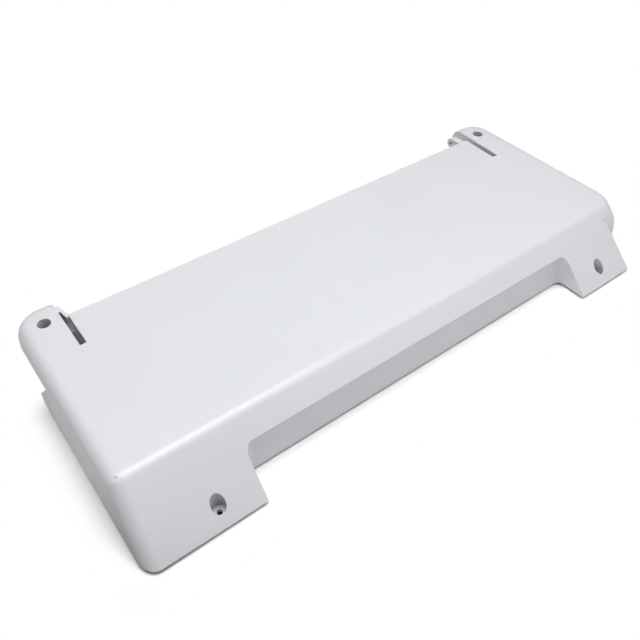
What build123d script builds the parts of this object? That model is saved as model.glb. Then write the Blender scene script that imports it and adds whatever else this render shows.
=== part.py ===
"""Injection moulded plastic housing: one thin-walled cover, open underneath and behind.

X runs along the length, +Y to the rear, +Z up.  The origin is at the middle of the
footprint, on the plane that the rim of the cover stands on.  All sizes in millimetres.
"""

import os
from math import radians, sin, tan

from build123d import *

# Overall form
length = 452.0  # over the foot of the two end walls
depth = 197.6  # rounded front foot to the rear of the ears
height = 41.0
wall = 3.0
slope_angle = 45.0  # front face, from the horizontal
end_draft = 6.0  # end walls lean in towards the top
top_radius = 9.5  # ridge, ends and ears, all in one run
left_post_radius = 10.0  # front left corner
right_post_radius = 18.5  # front right corner

# Rear: skirt, ears and end walls.  An inset is measured in from the foot of an end wall.
ear_reach = 22.0  # how far the ears stand out behind the panel
ear_corner_radius = 19.5
skirt_depth = 14.5  # how far the rear skirt and the ears reach down
slot_inset = 35.2  # to the centre line of a slot, at the rear edge of the panel
left_slot_width = 4.3
left_slot_length = 31.1  # ahead of the rear edge of the panel
right_slot_width = 5.0
right_slot_length = 34.1
right_slot_skew = 2.0  # the right slot runs in towards the front
rake_foot = 38.0  # rear of an end wall at the floor, ahead of the rear of the ears
rake_top = 62.0  # the same, just under the skirt
return_radius = 30.0  # rear of an end wall, where it turns in
return_start = 50.0  # where it starts to turn, ahead of the rear of the ears

# Front legs and the recess between them
leg_inset = 79.2  # to the inner side of a leg, at the floor
leg_inner_draft = 2.0
right_leg_inset = 22.4  # to the outer side of the right leg, at the floor
right_leg_draft = 5.5
recess_ledge = 15.4  # level run of the slope above the foot of the recess wall
recess_draft = 3.6
recess_radius = 6.0
foot_radius = 1.0  # round the outside of the rim
edge_radius = 0.6  # round the slots and along the rear edge of the panel
bay_ledge = 13.6  # level run of the slope above the wall beside the right leg
bay_radius = 24.0  # between that wall and the slope

# Screw places
ear_hole_inset = 21.5
ear_hole_from_rear = 21.0
ear_bore = 9.0
ear_screw_hole = 4.3
ear_floor = 3.0
pocket_inset = 51.9
pocket_from_front = 11.7  # behind the line where the slope would meet the floor
pocket_bore = 9.3
pocket_screw_hole = 3.6
pocket_floor = 2.6
boss_wall = 2.8

# Stiffening under the panel
rib_wall = 2.0
rib_depth = 8.0
rib_count = 5
rib_margin = 16.8  # outermost rib to the inner side of a leg

# Lugs at the rear edge
knuckle_inset = 47.0  # to the left face of the right lug
knuckle_width = 6.2
knuckle_reach = 13.5  # behind the panel
knuckle_radius = 4.2
knuckle_pin = 3.0
lug_drop = 0.4  # tops of both lugs below the panel
tie_reach = 12.0  # left tie, behind the panel
tie_width = 6.0
tie_web = 1.8
tie_depth = 5.0

foot_loss = foot_radius / tan(radians(slope_angle / 2)) - foot_radius
front = -depth / 2 - foot_loss  # where the slope would meet the floor
rear = depth / 2
past = 20.0  # how far a cutting form runs past the part
end_foot = length / 2
skirt_bottom = height - skirt_depth
panel_rear = rear - ear_reach
slope_rise = tan(radians(slope_angle))
slope_shift = 1 / sin(radians(slope_angle))  # level shift of the slope for 1 mm of wall
slot_x = end_foot - slot_inset
slots = (
    (-1, left_slot_width, left_slot_length, 0),
    (1, right_slot_width, right_slot_length, -right_slot_skew),
)
leg_inner = end_foot - leg_inset


def slope_y(z, inset=0.0):
    """Y of the front slope at height z, drawn in square to the slope."""
    return front + z / slope_rise + inset * slope_shift


def lean(z, draft):
    """How far a drafted side has moved in by height z."""
    return z * tan(radians(draft))


def end_x(z, inset=0.0):
    """X of the right end wall at height z; the left one is its mirror image."""
    return end_foot - inset - lean(z, end_draft)


def recess_form(inset):
    """What is cut out in front of the recess wall, between the legs."""
    with BuildPart() as form:
        for z in (-past, height):
            with BuildSketch(Plane.XY.offset(z)) as plan:
                with Locations((0, slope_y(height) - recess_ledge + lean(z, recess_draft) + inset)):
                    Rectangle(
                        2 * (leg_inner - lean(z, leg_inner_draft) + inset),
                        depth,
                        align=(Align.CENTER, Align.MAX),
                    )
                fillet(plan.vertices().group_by(Axis.Y)[-1], recess_radius + inset)
        loft(ruled=True)
    return form.part


def bay_form(inset):
    """What is cut out beside the right leg; the body rolls from the slope to a wall."""
    wall_y = slope_y(height) - bay_ledge + inset
    side = Plane(
        origin=(end_foot - right_leg_inset - inset, 0, 0),
        z_dir=(1, 0, tan(radians(right_leg_draft))),
    )
    with BuildPart() as form:
        with BuildSketch(Plane.YZ) as profile:
            with BuildLine():
                Polyline(
                    (wall_y, -past),
                    (wall_y, (wall_y - slope_y(0, inset)) * slope_rise),
                    (slope_y(height, inset), height),
                    (front - past, height),
                    (front - past, -past),
                    close=True,
                )
            make_face()
            knee = profile.vertices().group_by(Axis.Y)[-2].sort_by(Axis.Z)[-1]
            fillet(knee, bay_radius - inset)
        extrude(amount=length)
        split(bisect_by=side, keep=Keep.TOP)
    return form.part


def skin(inset):
    """The outside form, every wall drawn in by inset; the core when inset is the wall."""
    foot = -past if inset else 0.0
    top = height - inset
    ear_foot = foot if inset else skirt_bottom
    with BuildPart() as form:
        # Body: the side profile along the whole length
        with BuildSketch(Plane.YZ):
            with BuildLine():
                Polyline(
                    (slope_y(foot, inset), foot),
                    (slope_y(top, inset), top),
                    (panel_rear - inset, top),
                    (panel_rear - inset, foot),
                    close=True,
                )
            make_face()
        extrude(amount=length, both=True)
        # Ears: two caps that stand out behind the panel
        with BuildSketch(Plane.XY.offset(ear_foot)):
            for side, align in ((-1, Align.MAX), (1, Align.MIN)):
                with Locations((side * slot_x, rear - inset)):
                    Rectangle(length, ear_reach + wall, align=(align, Align.MAX))
        extrude(amount=top - ear_foot)
        # Ends: both lean in towards the top
        with BuildSketch(Plane.XZ.offset(-depth)):
            with BuildLine():
                Polyline(
                    (-end_x(foot, inset), foot),
                    (-end_x(top, inset), top),
                    (end_x(top, inset), top),
                    (end_x(foot, inset), foot),
                    close=True,
                )
            make_face()
        extrude(amount=2 * depth, mode=Mode.INTERSECT)
        add(bay_form(inset), mode=Mode.SUBTRACT)
        # Front corner posts, ear corners, then the run round the top
        for end, radius in ((0, left_post_radius), (-1, right_post_radius)):
            end_face = form.faces().sort_by(Axis.X)[end]
            post = end_face.edges().filter_by(
                lambda edge: edge.center().Y < slope_y(top, inset) and edge.center().Z > foot + 0.1
            )
            fillet(post, radius - inset)
        for end in (0, -1):
            end_face = form.faces().sort_by(Axis.X)[end]
            fillet(end_face.edges().sort_by(Axis.Y)[-1], ear_corner_radius - inset)
        fillet(form.faces().sort_by(Axis.Z)[-1].edges().sort_by(Axis.Y)[0], top_radius - inset)
        add(recess_form(inset), mode=Mode.SUBTRACT)
        # Outside only: the foot of the front and of the ends is rounded
        if not inset:
            fillet(form.faces().sort_by(Axis.Z)[0].edges().sort_by(Axis.Y)[:-1], foot_radius)
        # Rear of the end walls, turned in below the skirt
        with BuildSketch(Plane.XY.offset(foot)):
            with Locations((end_foot - return_radius, rear - return_start)):
                Rectangle(2 * return_radius, depth, align=(Align.MIN, Align.MIN))
                Circle(return_radius - inset, mode=Mode.SUBTRACT)
            mirror(about=Plane.YZ)
        extrude(amount=skirt_bottom - foot, mode=Mode.SUBTRACT)
        # Slots between the panel and the ears
        with BuildSketch(Plane.XY.offset(skirt_bottom)):
            for side, width, reach, skew in slots:
                with Locations(Location((side * slot_x, panel_rear), skew)):
                    Rectangle(width + 2 * inset, 2 * (reach + inset))
        extrude(amount=height, mode=Mode.SUBTRACT)
        if not inset:
            lip = form.faces().sort_by(Axis.Z)[-1].edges().filter_by(
                lambda edge: edge.center().Y > 0 and abs(edge.center().X) < slot_x + right_slot_width
            )
            fillet(lip, edge_radius)
    return form.part


outside = skin(0)
core = skin(wall)
ear_holes = [(side * (end_foot - ear_hole_inset), rear - ear_hole_from_rear) for side in (-1, 1)]
pockets = [(side * (end_foot - pocket_inset), front + pocket_from_front) for side in (-1, 1)]

# Bosses and ribs, trimmed to the outside form
with BuildPart() as inside:
    with BuildSketch(Plane.XY.offset(skirt_bottom)):
        with Locations(*ear_holes):
            Circle(ear_bore / 2 + boss_wall)
    extrude(amount=skirt_depth)
    with BuildSketch(Plane.XY):
        with Locations(*pockets):
            Circle(pocket_bore / 2 + boss_wall)
    extrude(amount=height)
    with BuildSketch(Plane.XY.offset(height - wall - rib_depth)):
        with GridLocations(2 * (leg_inner - rib_margin) / (rib_count - 1), 0, rib_count, 1):
            Rectangle(rib_wall, depth)
    extrude(amount=wall + rib_depth)
    add(outside, mode=Mode.INTERSECT)

# Right lug: a hinge knuckle that stands out behind the panel
knuckle_y = panel_rear + knuckle_reach - knuckle_radius
knuckle_z = height - lug_drop - knuckle_radius
with BuildPart() as knuckle:
    with BuildSketch(Plane.YZ.offset(end_foot - knuckle_inset)):
        with Locations((knuckle_y, knuckle_z)):
            Circle(knuckle_radius)
            Rectangle(
                knuckle_y - panel_rear + wall,
                2 * knuckle_radius,
                align=(Align.MAX, Align.CENTER),
            )
            Circle(knuckle_pin / 2, mode=Mode.SUBTRACT)
    extrude(amount=knuckle_width)

# Left lug: a strap that ties the ear to the corner of the panel across the slot
slot_wall = slot_x + left_slot_width / 2
with BuildPart() as tie:
    with BuildSketch(Plane.XY.offset(height - lug_drop - tie_depth)) as strap:
        with BuildLine():
            Polyline(
                (-slot_wall - wall / 2, panel_rear + tie_reach),
                (-slot_wall + left_slot_width / 2, panel_rear + tie_reach),
                (-slot_wall + left_slot_width + tie_web / 2, panel_rear - tie_web),
                (-slot_wall + left_slot_width - tie_web, panel_rear - tie_web),
                (-slot_wall + left_slot_width / 2 - tie_web / 2, panel_rear + tie_reach - tie_width),
                (-slot_wall - wall / 2, panel_rear + tie_reach - tie_width),
                close=True,
            )
        make_face()
    extrude(amount=tie_depth)

with BuildPart() as housing:
    add(outside)
    add(core, mode=Mode.SUBTRACT)
    add(inside.part)
    add(knuckle.part)
    add(tie.part)
    # Raked rear of the end walls, open behind under the skirt
    with BuildSketch(Plane.YZ):
        with BuildLine():
            Polyline(
                (rear - rake_foot, 0),
                (rear - rake_top, skirt_bottom),
                (rear + past, skirt_bottom),
                (rear + past, -past),
                (rear - rake_foot, -past),
                close=True,
            )
        make_face()
    extrude(amount=length, both=True, mode=Mode.SUBTRACT)
    # Screw places: bores from above, smaller holes through their floors
    with Locations(*[(x, y, height) for x, y in ear_holes]):
        CounterBoreHole(ear_screw_hole / 2, ear_bore / 2, skirt_depth - ear_floor)
    with Locations(*[(x, y, height) for x, y in pockets]):
        CounterBoreHole(pocket_screw_hole / 2, pocket_bore / 2, height - pocket_floor)

housing.part.label = "housing"
os.makedirs("parts", exist_ok=True)
export_step(housing.part, "parts/housing.step")
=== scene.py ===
"""Looks, light and camera for the moulded plastic housing.

Metres, in the frame of the CAD part, except where a comment says millimetres.
"""

import math

import bmesh
import bpy
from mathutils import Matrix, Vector


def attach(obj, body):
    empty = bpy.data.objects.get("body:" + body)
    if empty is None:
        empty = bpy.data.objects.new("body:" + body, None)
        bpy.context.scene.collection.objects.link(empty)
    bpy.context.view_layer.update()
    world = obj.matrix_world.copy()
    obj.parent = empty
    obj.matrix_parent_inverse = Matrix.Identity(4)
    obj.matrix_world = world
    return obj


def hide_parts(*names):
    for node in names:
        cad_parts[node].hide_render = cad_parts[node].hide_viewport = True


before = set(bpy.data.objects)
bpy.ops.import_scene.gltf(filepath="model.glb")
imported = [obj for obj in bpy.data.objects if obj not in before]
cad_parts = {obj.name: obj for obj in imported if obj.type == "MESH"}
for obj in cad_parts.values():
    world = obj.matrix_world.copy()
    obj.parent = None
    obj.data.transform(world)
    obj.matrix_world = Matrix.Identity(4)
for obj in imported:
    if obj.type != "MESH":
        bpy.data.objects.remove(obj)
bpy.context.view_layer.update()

MM = 0.001
BLACK = (0, 0, 0, 1)
WHITE = (1, 1, 1, 1)

# Camera, solved from the photograph's straight edges and screw places
CAMERA_PLACE = Vector((-244.4, -276.5, 356.2)) * MM
CAMERA_HEADING = 37.13  # degrees from +Y towards +X
CAMERA_PITCH = 45.33  # degrees below the horizon
CAMERA_ROLL = 0.37  # degrees
SENSOR = 36.0  # millimetres
FOCAL_SHARE = 666.6 / 640  # focal length as a share of the frame's width
NEAREST_SEEN = 0.01

# Light: soft square panels, each at LAMP_REACH from LAMP_AIM and turned to it
LAMP_REACH = 1.2
LAMP_SIDE = 0.7
LAMP_AIM = Vector((0.0, 0.0, 0.02))
LAMPS = {  # degrees from +X towards +Y, degrees above the horizon, watts
    "zenith": (0, 90, 11.9),
    "left": (180, 60, 2.1),
    "front_right": (-45, 50, 2.6),
    "front": (-90, 60, 0.85),
}

# Floor: what the camera sees of it differs from what lights the part
FLOOR_SIDE = 6.0
FLOOR_TONE = 0.85  # as the part sees it
FLOOR_DROP = 1.7 * MM  # gap under the rim, for the photograph's dark line under the feet
WALLS = ((-0.226, -0.099), (0.226, 0.040))  # rectangle inside the front and the end walls
WHITE_FROM = 0.0  # distance from WALLS at which the camera's floor starts to turn plain white
WHITE_TO = 0.022
FLAG_TONE = 0.30  # off the front left corner, as the part sees it
FLAG_PLACE = (-0.245, -0.130, 0.0)
FLAG_FROM = 0.030  # distance from FLAG_PLACE at which it starts to turn to FLOOR_TONE
FLAG_TO = 0.110

# Dark sheets on the floor under the legs' screw holes: painted shade that the holes show;
# millimetres
SHADES = ((-174, -88), (174, -88))
SHADE_SIDE = 12
SHADE_LIFT = 0.1
SHADE_TONE = 0.02

# Plastic: values by the names of their sockets; noise scales are per metre
REFRACTION = 1.49
CLOUDS = {"Scale": 9.0, "Detail": 3.0, "Roughness": 0.5}  # uneven colour
CLOUD_COLOURS = ((0.3, (0.756, 0.772, 0.801, 1)), (0.7, (0.781, 0.795, 0.819, 1)))
SHEEN = {"Scale": 40.0, "Detail": 4.0, "Roughness": 0.6}  # uneven gloss
SHEEN_RANGE = {"To_Min": 0.29, "To_Max": 0.37}
GRAIN = {"Scale": 1600.0, "Detail": 2.0, "Roughness": 0.6}  # spark-eroded skin
GRAIN_BUMP = {"Strength": 0.25, "Distance": 0.00003}

# Painted shade in slots, bores and pockets, which darkens the colour: how open a place is, and
# what that leaves of the colour
HOLLOW_SHADE_REACH = 0.015
HOLLOW_SHADE_SAMPLES = 12
HOLLOW_SHADE_RANGE = {"From_Min": 0.05, "From_Max": 0.40, "To_Min": 0.45, "To_Max": 1.0}

# Dark spots: place and reach in millimetres, and what the middle leaves of the colour. The
# three at the left end are painted shade along a fine crease where the roundings meet; the
# other is a dark dot.
DOTS_AND_CREASE_SHADE = (
    ((200.3, -67.5, 32.7), 1.6, 0.70),
    ((-216.0, -57.2, 40.3), 0.75, 0.35),
    ((-215.0, -58.2, 40.3), 0.6, 0.75),
    ((-214.1, -59.6, 39.8), 0.6, 0.75),
)
DARK_MIDDLE_SHARE = 0.3  # share of the reach that is evenly dark

# Left end wall: one flat face that cuts into the rounding above it, up to the ear
END_FOOT = -0.226  # X of the flat face at the floor
END_LEAN = math.radians(7.5)
FLAT_TO = 0.012  # Y up to which it is flat; the ear's own form is reached at EAR_FROM
EAR_FROM = 0.036
FLAT_CUTS = 5  # across, from FLAT_TO to EAR_FROM
END_ZONE = -0.206  # X beyond which nothing changes

# Edges of the shell
SAME = 0.00002  # two points nearer than this are one
LEVEL = math.radians(0.2)  # faces that meet at less than this are one
SHARP = math.radians(30)
SOFT_EDGE = 0.35 * MM
SOFT_STEPS = 2

# Invented walls that keep the light out of the left slot: centre line, foot, top; millimetres
WEB_THICK = 1.8
WEBS = {
    "strap_web": (((-187.7, 74.5), (-190.0, 83.0), (-193.4, 86.5)), 10.0, 36.0),
    "skirt_web": (((-181.0, 75.7), (-198.0, 75.7)), 10.0, 26.4),
}


def grey(tone):
    return (tone, tone, tone, 1)


def nodes_of(material):
    """An emptied node tree, ready for a material's own nodes."""
    material.use_nodes = True
    tree = material.node_tree
    tree.nodes.clear()
    return tree


def add_node(tree, kind, **values):
    """A new shader node, with its sockets set by name."""
    node = tree.nodes.new(kind)
    for name, value in values.items():
        node.inputs[name.replace("_", " ")].default_value = value
    return node


def noise(tree, place, **values):
    """A socket with noise at a place."""
    node = add_node(tree, "ShaderNodeTexNoise", **values)
    tree.links.new(place, node.inputs["Vector"])
    return node.outputs["Fac"]


def on_range(tree, value, interpolation="LINEAR", **limits):
    """A socket with a value brought from one range to another."""
    node = add_node(tree, "ShaderNodeMapRange", **limits)
    node.interpolation_type = interpolation
    tree.links.new(value, node.inputs["Value"])
    return node.outputs["Result"]


def distance_from_point(tree, place, point):
    """A socket with the distance of a place from a point."""
    node = tree.nodes.new("ShaderNodeVectorMath")
    node.operation = "DISTANCE"
    node.inputs[1].default_value = point
    tree.links.new(place, node.inputs[0])
    return node.outputs["Value"]


def distance_from_box(tree, place, box):
    """A socket with the distance of a place on the floor from a box, which is 0 inside it."""
    low, high = box
    middle = ((low[0] + high[0]) / 2, (low[1] + high[1]) / 2, 0.0)
    tall = 1.0  # so that height never counts
    half = ((high[0] - low[0]) / 2, (high[1] - low[1]) / 2, tall)
    steps = (
        ("SUBTRACT", middle),
        ("ABSOLUTE", None),
        ("SUBTRACT", half),
        ("MAXIMUM", (0, 0, 0)),
        ("LENGTH", None),
    )
    for operation, value in steps:
        step = tree.nodes.new("ShaderNodeVectorMath")
        step.operation = operation
        tree.links.new(place, step.inputs[0])
        if value:
            step.inputs[1].default_value = value
        place = step.outputs["Value" if operation == "LENGTH" else "Vector"]
    return place


def diffuse(tree, colour):
    return add_node(tree, "ShaderNodeBsdfDiffuse", Color=colour).outputs["BSDF"]


def mixed(tree, share, first, second):
    """A mix of two shaders, which is the first one where the share is 0."""
    mix = tree.nodes.new("ShaderNodeMixShader")
    tree.links.new(share, mix.inputs["Fac"])
    tree.links.new(first, mix.inputs[1])
    tree.links.new(second, mix.inputs[2])
    return mix.outputs["Shader"]


def by_ray(tree, unseen, seen):
    """One shader for the part's light, another for the camera."""
    path = tree.nodes.new("ShaderNodeLightPath")
    return mixed(tree, path.outputs["Is Camera Ray"], unseen, seen)


def show(tree, kind, shader):
    """Puts a shader on a new output node."""
    tree.links.new(shader, tree.nodes.new(kind).inputs["Surface"])


def painted_shade_share(tree, place):
    """A socket with what the painted shade in hollows and the dark spots leave of the colour.
    """
    depth = add_node(tree, "ShaderNodeAmbientOcclusion", Distance=HOLLOW_SHADE_REACH)
    depth.samples = HOLLOW_SHADE_SAMPLES
    depth.only_local = True
    share = on_range(tree, depth.outputs["AO"], **HOLLOW_SHADE_RANGE)
    # dark spots, partly painted shade along a crease
    for point, reach, left in DOTS_AND_CREASE_SHADE:
        off = distance_from_point(tree, place, Vector(point) * MM)
        middle = DARK_MIDDLE_SHARE * reach * MM
        dark_spot = on_range(tree, off, From_Min=middle, From_Max=reach * MM, To_Min=left)
        both = tree.nodes.new("ShaderNodeMath")
        both.operation = "MULTIPLY"
        tree.links.new(share, both.inputs[0])
        tree.links.new(dark_spot, both.inputs[1])
        share = both.outputs["Value"]
    return share


def moulded_plastic():
    """Satin white plastic: fine grain, slightly uneven colour and gloss, with painted shade in
    the hollows and along a crease.
    """
    material = bpy.data.materials.new("moulded_plastic")
    tree = nodes_of(material)
    link = tree.links.new
    shader = add_node(tree, "ShaderNodeBsdfPrincipled", IOR=REFRACTION)
    place = tree.nodes.new("ShaderNodeTexCoord").outputs["Object"]

    colour = tree.nodes.new("ShaderNodeValToRGB")
    for stop, (position, value) in zip(colour.color_ramp.elements, CLOUD_COLOURS):
        stop.position = position
        stop.color = value
    link(noise(tree, place, **CLOUDS), colour.inputs["Fac"])
    # painted shade: the colour made darker in hollows and at the dark spots
    painted_shade_colour = tree.nodes.new("ShaderNodeVectorMath")
    painted_shade_colour.operation = "SCALE"
    link(colour.outputs["Color"], painted_shade_colour.inputs[0])
    link(painted_shade_share(tree, place), painted_shade_colour.inputs["Scale"])
    link(painted_shade_colour.outputs["Vector"], shader.inputs["Base Color"])

    rough = on_range(tree, noise(tree, place, **SHEEN), **SHEEN_RANGE)
    link(rough, shader.inputs["Roughness"])

    bump = add_node(tree, "ShaderNodeBump", **GRAIN_BUMP)
    link(noise(tree, place, **GRAIN), bump.inputs["Height"])
    link(bump.outputs["Normal"], shader.inputs["Normal"])
    show(tree, "ShaderNodeOutputMaterial", shader.outputs["BSDF"])
    return material


def white_floor():
    """White paper: the camera sees its shadows near the part and plain white farther out."""
    material = bpy.data.materials.new("white_floor")
    tree = nodes_of(material)
    place = tree.nodes.new("ShaderNodeNewGeometry").outputs["Position"]
    away = distance_from_box(tree, place, WALLS)
    fade = on_range(tree, away, "SMOOTHSTEP", From_Min=WHITE_FROM, From_Max=WHITE_TO)
    plain_white = add_node(tree, "ShaderNodeEmission", Color=WHITE, Strength=1.0)
    seen = mixed(tree, fade, diffuse(tree, WHITE), plain_white.outputs["Emission"])
    away = distance_from_point(tree, place, FLAG_PLACE)
    leave = on_range(tree, away, From_Min=FLAG_FROM, From_Max=FLAG_TO)
    bounce = mixed(tree, leave, diffuse(tree, grey(FLAG_TONE)), diffuse(tree, grey(FLOOR_TONE)))
    show(tree, "ShaderNodeOutputMaterial", by_ray(tree, bounce, seen))
    return material


def make_floor():
    bpy.ops.mesh.primitive_plane_add(size=FLOOR_SIDE, location=(0, 0, -FLOOR_DROP))
    floor = bpy.context.object
    floor.name = "floor"
    floor.data.materials.append(white_floor())


# painted shade: near-black sheets on the floor under the screw holes
def make_shades():
    material = bpy.data.materials.new("shade")
    tree = nodes_of(material)
    show(tree, "ShaderNodeOutputMaterial", diffuse(tree, grey(SHADE_TONE)))
    for number, middle in enumerate(SHADES):
        place = Vector((*middle, SHADE_LIFT)) * MM
        place.z -= FLOOR_DROP
        bpy.ops.mesh.primitive_plane_add(size=SHADE_SIDE * MM, location=place)
        sheet = bpy.context.object
        sheet.name = "shade_%d" % number
        sheet.data.materials.append(material)


def make_sky():
    """Black to the part, white to the camera."""
    world = bpy.data.worlds.new("studio")
    bpy.context.scene.world = world
    tree = nodes_of(world)
    dark = add_node(tree, "ShaderNodeBackground", Color=BLACK, Strength=0.0)
    white = add_node(tree, "ShaderNodeBackground", Color=WHITE, Strength=1.0)
    sky = by_ray(tree, dark.outputs["Background"], white.outputs["Background"])
    show(tree, "ShaderNodeOutputWorld", sky)


def make_lamps():
    for name, (heading, rise, power) in LAMPS.items():
        turn, tilt = math.radians(heading), math.radians(rise)
        level = math.cos(tilt)
        way = Vector((level * math.cos(turn), level * math.sin(turn), math.sin(tilt)))
        lamp = bpy.data.lights.new(name, "AREA")
        lamp.shape = "SQUARE"
        lamp.size = LAMP_SIDE
        lamp.energy = power
        holder = bpy.data.objects.new(name, lamp)
        holder.location = LAMP_AIM + way * LAMP_REACH
        holder.rotation_euler = (-way).to_track_quat("-Z", "Y").to_euler()
        bpy.context.scene.collection.objects.link(holder)


def make_camera():
    lens = bpy.data.cameras.new("camera")
    lens.sensor_width = SENSOR
    lens.lens = SENSOR * FOCAL_SHARE
    lens.clip_start = NEAREST_SEEN
    camera = bpy.data.objects.new("camera", lens)
    heading = math.radians(-CAMERA_HEADING)
    tilt = math.radians(90 - CAMERA_PITCH)
    camera.rotation_mode = "XYZ"
    camera.rotation_euler = (tilt, 0, heading)
    camera.rotation_euler.rotate_axis("Z", math.radians(CAMERA_ROLL))
    camera.location = CAMERA_PLACE
    bpy.context.scene.collection.objects.link(camera)
    bpy.context.scene.camera = camera


def cut(work, place, way):
    """Divides the faces of the left end along a plane."""
    parts = set(face for face in work.faces if min(vert.co.x for vert in face.verts) < END_ZONE)
    for face in list(parts):
        parts.update(face.verts)
        parts.update(face.edges)
    bmesh.ops.bisect_plane(work, geom=list(parts), dist=SAME, plane_co=place, plane_no=way)


def flatten_end(work):
    """Brings what is outside the flat left end onto it; gives the points along its edge."""
    cut(work, (END_FOOT, 0, 0), (-math.cos(END_LEAN), 0, math.sin(END_LEAN)))
    for step in range(FLAT_CUTS):
        y = FLAT_TO + (EAR_FROM - FLAT_TO) * step / (FLAT_CUTS - 1)
        cut(work, (0, y, 0), (0, 1, 0))
    crease = set()
    for vert in work.verts:
        x, y, z = vert.co
        outside = END_FOOT + z * math.tan(END_LEAN) - x
        on_rim = z < SAME
        if x > END_ZONE or outside < -SAME or on_rim:
            continue
        if outside < SAME:
            crease.add(vert)
        share = min(1.0, max(0.0, (EAR_FROM - y) / (EAR_FROM - FLAT_TO)))
        smooth_share = share * share * (3 - 2 * share)
        vert.co.x += max(0.0, outside) * smooth_share
    return crease


def make_shell(node):
    """The housing with a flat left end and soft edges."""
    work = bmesh.new()
    work.from_mesh(node.data)
    bmesh.ops.remove_doubles(work, verts=work.verts, dist=SAME)
    bmesh.ops.dissolve_limit(work, angle_limit=LEVEL, verts=work.verts, edges=work.edges)
    crease = flatten_end(work)
    for face in work.faces:
        face.smooth = True
    for edge in work.edges:
        bent = len(edge.link_faces) == 2 and edge.calc_face_angle(0.0) > SHARP
        edge.smooth = not bent and not crease.issuperset(edge.verts)
    mesh = bpy.data.meshes.new("housing_shell")
    work.to_mesh(mesh)
    work.free()
    if "custom_normal" in mesh.attributes:  # the CAD mesh's own, which no longer fit
        mesh.attributes.remove(mesh.attributes["custom_normal"])
    shell = bpy.data.objects.new("housing_shell", mesh)
    bpy.context.scene.collection.objects.link(shell)
    soft = shell.modifiers.new("soft_edges", "BEVEL")
    soft.width = SOFT_EDGE
    soft.segments = SOFT_STEPS
    soft.limit_method = "ANGLE"
    soft.angle_limit = SHARP
    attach(shell, "root")
    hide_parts("housing")
    return shell


def make_web(name, line, foot, top):
    """A thin upright wall along a line."""
    work = bmesh.new()
    points = [Vector(point) for point in line]
    rows = []
    for i, point in enumerate(points):
        ahead = (points[min(i + 1, len(points) - 1)] - points[max(i - 1, 0)]).normalized()
        side = Vector((ahead.y, -ahead.x)) * WEB_THICK / 2
        corners = (
            (point + side, foot),
            (point + side, top),
            (point - side, top),
            (point - side, foot),
        )
        rows.append([work.verts.new(Vector((spot.x, spot.y, z)) * MM) for spot, z in corners])
    for one, two in zip(rows, rows[1:]):
        for k in range(len(one)):
            after = (k + 1) % len(one)
            work.faces.new((one[k], one[after], two[after], two[k]))
    work.faces.new(rows[0][::-1])
    work.faces.new(rows[-1])
    bmesh.ops.recalc_face_normals(work, faces=work.faces)
    mesh = bpy.data.meshes.new(name)
    work.to_mesh(mesh)
    work.free()
    web = bpy.data.objects.new(name, mesh)
    bpy.context.scene.collection.objects.link(web)
    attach(web, "root")
    return web


make_camera()
make_floor()
make_shades()
make_sky()
make_lamps()
bpy.context.scene.view_settings.view_transform = "Standard"

pieces = [make_shell(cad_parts["housing"])]
pieces += [make_web(name, *form) for name, form in WEBS.items()]
plastic = moulded_plastic()
for piece in pieces:
    piece.data.materials.append(plastic)
